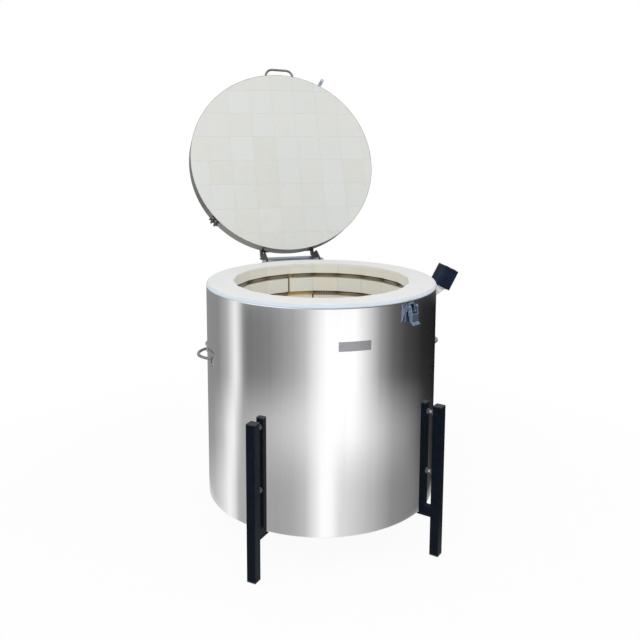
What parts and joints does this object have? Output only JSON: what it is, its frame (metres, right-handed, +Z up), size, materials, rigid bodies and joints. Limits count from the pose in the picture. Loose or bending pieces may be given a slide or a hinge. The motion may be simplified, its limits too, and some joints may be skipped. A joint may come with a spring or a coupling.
{
  "type": "top-loading kiln",
  "caption": "Round top-loading electric kiln on four legs: steel-clad firebrick chamber with grooved coils, hinged brick lid shown open, toggle latch and tilted controller.",
  "frame": {"origin": "on the kiln's vertical axis, at floor level under the feet", "axes": "+Z up, -Y to the front, +Y to the lid hinge, +X to the controller"},
  "size_m": [0.7801, 0.9989, 1.3514],
  "materials": {
    "steel_polished": "polished",
    "steel_dull": "satin",
    "zinc": "satin",
    "chrome_rod": "polished",
    "firebrick": "matte",
    "fibre": "matte",
    "element_wire": "matte",
    "porcelain": "satin",
    "brass_terminal": "satin",
    "leg_paint": "gloss",
    "arm_paint": "satin",
    "controller_paint": "satin",
    "black_plastic": "satin",
    "green_plastic": "gloss",
    "smoked_window": "gloss"
  },
  "bodies": {
    "kiln_body": {"base_plate": "steel_dull", "floor_insulation": "fibre", "floor_bricks": "firebrick", "wall_bricks_lower": "firebrick", "wall_bricks_upper": "firebrick", "heating_coils": "element_wire", "fibre_blanket": "fibre", "rim_coat": "firebrick", "jacket": "steel_polished", "nameplate": "zinc", "body_rivets": "steel_polished", "element_leads": "element_wire", "lead_bushes": "porcelain", "lead_connectors": "brass_terminal", "terminal_cover": "steel_dull", "terminal_standoffs": "steel_dull", "terminal_screws": "steel_dull", "cable_gland": "black_plastic", "terminal_board": "porcelain", "thermocouple_sheath": "steel_dull", "thermocouple_head": "porcelain", "leg_posts": "leg_paint", "leg_rails": "leg_paint", "leg_ledges": "leg_paint", "leg_spacers": "leg_paint", "leg_studs": "steel_dull", "leg_nuts": "steel_dull", "tube_caps": "black_plastic", "foot_caps": "black_plastic", "hinge_bracket": "zinc", "bracket_bolts": "steel_dull", "hinge_rod": "steel_dull", "hinge_washers": "steel_dull", "hinge_nuts": "steel_dull", "side_handle_left": "chrome_rod", "side_handle_right": "chrome_rod", "side_handle_screws": "steel_dull", "latch_base": "zinc", "latch_rivets": "zinc", "controller_housing": "controller_paint", "controller_panel": "controller_paint", "display_window": "smoked_window", "controller_bracket": "arm_paint", "controller_screws": "steel_dull"},
    "lid": {"lid_bricks": "firebrick", "lid_band": "steel_polished", "lid_cover": "steel_dull", "lid_arm_left": "arm_paint", "lid_arm_right": "arm_paint", "lid_bolts": "steel_dull", "lid_handle": "chrome_rod", "lid_catch": "zinc", "band_tensioner": "steel_dull"},
    "latch_lever_body": {"latch_lever": "zinc", "latch_pin": "zinc"},
    "latch_bail_body": {"latch_bail": "zinc"},
    "power_rocker_body": {"power_rocker": "black_plastic"},
    "key_up_body": {"key_up": "black_plastic"},
    "key_down_body": {"key_down": "black_plastic"},
    "key_start_body": {"key_start": "green_plastic"}
  },
  "joints": [
    {"name": "lid_hinge", "type": "hinge", "parent": "kiln_body", "child": "lid", "pos_m": [0, 0.358, 0.708], "axis": [1, 0, 0], "range_deg": [0, 112]},
    {"name": "latch_lever_pivot", "type": "hinge", "parent": "kiln_body", "child": "latch_lever_body", "pos_m": [0.1629, -0.29387, 0.697], "axis": [-0.8746, -0.4848, 0], "range_deg": [0, 90]},
    {"name": "latch_bail_pivot", "type": "hinge", "parent": "latch_lever_body", "child": "latch_bail_body", "pos_m": [0.1629, -0.29387, 0.685], "axis": [-0.8746, -0.4848, 0], "range_deg": [-90, 0]},
    {"name": "power_rocker_tilt", "type": "hinge", "parent": "kiln_body", "child": "power_rocker_body", "pos_m": [0.40663, 0.042, 0.72777], "axis": [0, 1, 0], "range_deg": [0, 16]},
    {"name": "key_up_press", "type": "slide", "parent": "kiln_body", "child": "key_up_body", "axis": [-0.4695, 0, -0.8829], "range_m": [0, 0.001], "stiffness_N_per_m": 400},
    {"name": "key_down_press", "type": "slide", "parent": "kiln_body", "child": "key_down_body", "axis": [-0.4695, 0, -0.8829], "range_m": [0, 0.001], "stiffness_N_per_m": 400},
    {"name": "key_start_press", "type": "slide", "parent": "kiln_body", "child": "key_start_body", "axis": [-0.4695, 0, -0.8829], "range_m": [0, 0.001], "stiffness_N_per_m": 400}
  ],
  "couplings": [
    {"joint": "latch_bail_pivot", "follows": "latch_lever_pivot", "ratio": -1}
  ]
}
